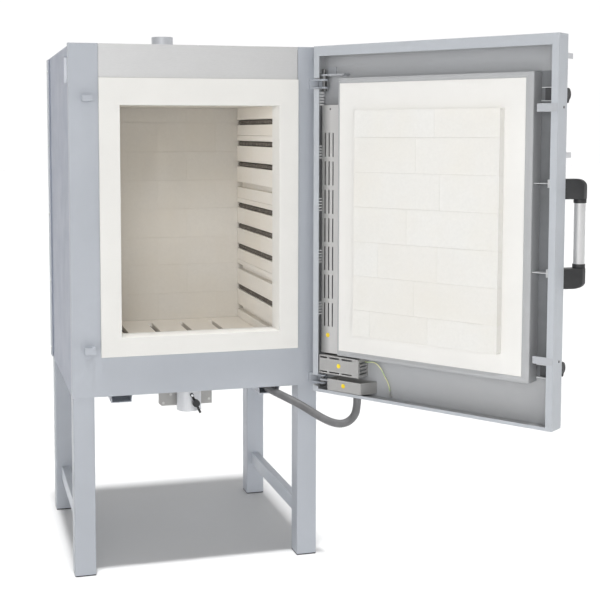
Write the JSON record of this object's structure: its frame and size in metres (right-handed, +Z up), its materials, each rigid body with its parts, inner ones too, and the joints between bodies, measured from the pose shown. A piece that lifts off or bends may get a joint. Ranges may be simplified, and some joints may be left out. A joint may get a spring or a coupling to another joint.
{
  "type": "chamber furnace",
  "caption": "Front-loading chamber furnace on a four-leg stand, with a brick-lined heated chamber, a swing door on two hinges, turn latches, an exhaust stub and an air damper.",
  "frame": {"origin": "on the floor, midway between the legs, in the plane of the front face of the front legs", "axes": "+Z up, +X to the right as seen from the front, +Y to the back"},
  "size_m": [1.466, 1.5788, 1.828],
  "materials": {
    "frame_paint": "satin light blue-grey powder coat",
    "casing_paint": "satin light blue-grey powder coat",
    "door_paint": "satin light blue-grey powder coat",
    "stainless": "brushed",
    "zinc_steel": "zinc plated",
    "fibre_board": "smooth matt white fibre board",
    "fire_brick": "matt off-white light brick",
    "ceramic_fibre": "matt white fibre",
    "element_wire": "oxidised heating wire",
    "ceramic_tube": "matt",
    "handle_black": "matt black",
    "handle_metal": "satin",
    "hose_grey": "satin grey sheath",
    "wire_yellow_green": "striped insulation"
  },
  "bodies": {
    "furnace": {"leg_front_left": "frame_paint", "leg_front_right": "frame_paint", "leg_rear_left": "frame_paint", "leg_rear_right": "frame_paint", "foot_plates": "frame_paint", "side_stretchers": "frame_paint", "base_rails": "frame_paint", "front_plate": "casing_paint", "header_panel": "stainless", "left_casing": "casing_paint", "right_casing": "casing_paint", "top_cover": "casing_paint", "rear_cover": "casing_paint", "rear_housing": "casing_paint", "collar": "fibre_board", "chamber_left_wall": "fire_brick", "chamber_right_wall": "fire_brick", "chamber_back_wall": "fire_brick", "chamber_roof": "fire_brick", "chamber_floor": "fire_brick", "backup_insulation": "ceramic_fibre", "floor_sheet": "frame_paint", "element_support_tubes": "ceramic_tube", "element_coils": "element_wire", "floor_elements": "element_wire", "element_leads": "element_wire", "thermocouple": "ceramic_tube", "exhaust_stub": "stainless", "underside_channels": "casing_paint", "air_inlet_tube": "stainless", "air_inlet_plate": "stainless", "latch_catches": "casing_paint", "hinge_brackets": "casing_paint", "hinge_bolts": "zinc_steel", "supply_gland": "zinc_steel", "casing_screws": "zinc_steel", "conduit": "hose_grey", "conduit_gland": "zinc_steel"},
    "door": {"door_pan": "door_paint", "door_panel_frame": "door_paint", "door_insulation": "fibre_board", "door_plug": "fire_brick", "duct_cover": "stainless", "terminal_box": "stainless", "terminal_tray": "stainless", "conduit_nut": "zinc_steel", "hinge_straps": "door_paint", "latch_guides": "door_paint", "latch_stiffeners": "door_paint", "handle_brackets": "handle_black", "handle_tube": "handle_metal", "hook_tabs": "door_paint", "earth_lug": "zinc_steel", "earth_wire": "wire_yellow_green"},
    "latch_top": {"latch_knob_top": "handle_black", "latch_cam_top": "zinc_steel"},
    "latch_bottom": {"latch_knob_bottom": "handle_black", "latch_cam_bottom": "zinc_steel"},
    "air_damper": {"inlet_flap": "stainless", "inlet_lever": "handle_black"}
  },
  "joints": [
    {"name": "door_hinge", "type": "hinge", "parent": "furnace", "child": "door", "pos_m": [0.4285, -0.042, 1.15], "axis": [0, 0, 1], "range_deg": [-126.4, 13.6]},
    {"name": "latch_top_turn", "type": "hinge", "parent": "door", "child": "latch_top", "pos_m": [0.93938, -0.70461, 1.583], "axis": [0.8049, 0.5934, 0], "range_deg": [0, 90]},
    {"name": "latch_bottom_turn", "type": "hinge", "parent": "door", "child": "latch_bottom", "pos_m": [0.93938, -0.70461, 0.764], "axis": [0.8049, 0.5934, 0], "range_deg": [0, 90]},
    {"name": "air_damper_turn", "type": "hinge", "parent": "furnace", "child": "air_damper", "pos_m": [-0.014, 0.09, 0.581], "axis": [0, -1, 0], "range_deg": [-25.4, 64.6]}
  ]
}
